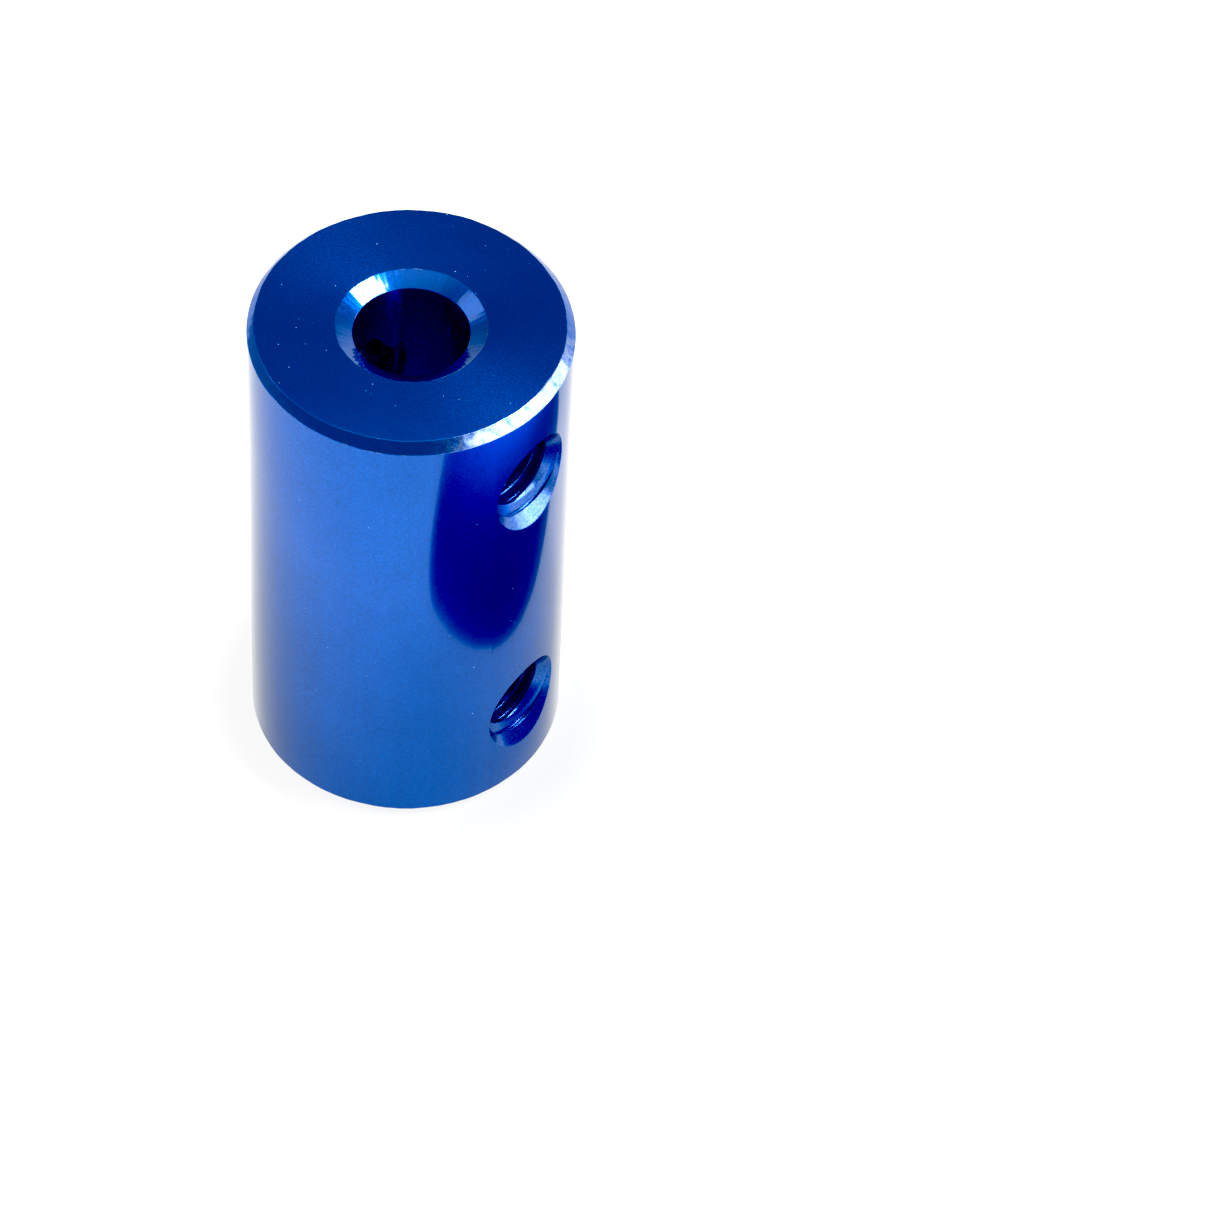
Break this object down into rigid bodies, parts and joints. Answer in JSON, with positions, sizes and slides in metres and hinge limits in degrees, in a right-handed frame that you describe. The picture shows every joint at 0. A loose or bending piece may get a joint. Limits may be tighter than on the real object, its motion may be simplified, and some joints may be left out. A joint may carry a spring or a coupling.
{
  "type": "rigid shaft coupling",
  "caption": "One-piece rigid sleeve coupling with stepped 5 mm and 8 mm shaft bores, radial M4 tapped holes and cup-point set screws.",
  "frame": {"origin": "on the shaft axis at the large-bore end face, which the coupling stands on", "axes": "+Z along the shaft axis towards the small-bore end, +X towards the open tapped holes, set screws on the -X side"},
  "size_m": [0.014, 0.014, 0.025],
  "materials": {
    "anodised_aluminium": "satin",
    "black_oxide_steel": "satin"
  },
  "bodies": {
    "sleeve": {"coupling_body": "anodised_aluminium"},
    "small_bore_screw": {"small_bore_set_screw": "black_oxide_steel"},
    "large_bore_screw": {"large_bore_set_screw": "black_oxide_steel"}
  },
  "joints": [
    {"name": "small_bore_screw_travel", "type": "slide", "parent": "sleeve", "child": "small_bore_screw", "axis": [1, 0, 0], "range_m": [-0.0028, 0.0007]},
    {"name": "large_bore_screw_travel", "type": "slide", "parent": "sleeve", "child": "large_bore_screw", "axis": [1, 0, 0], "range_m": [-0.0014, 0.0007]}
  ]
}
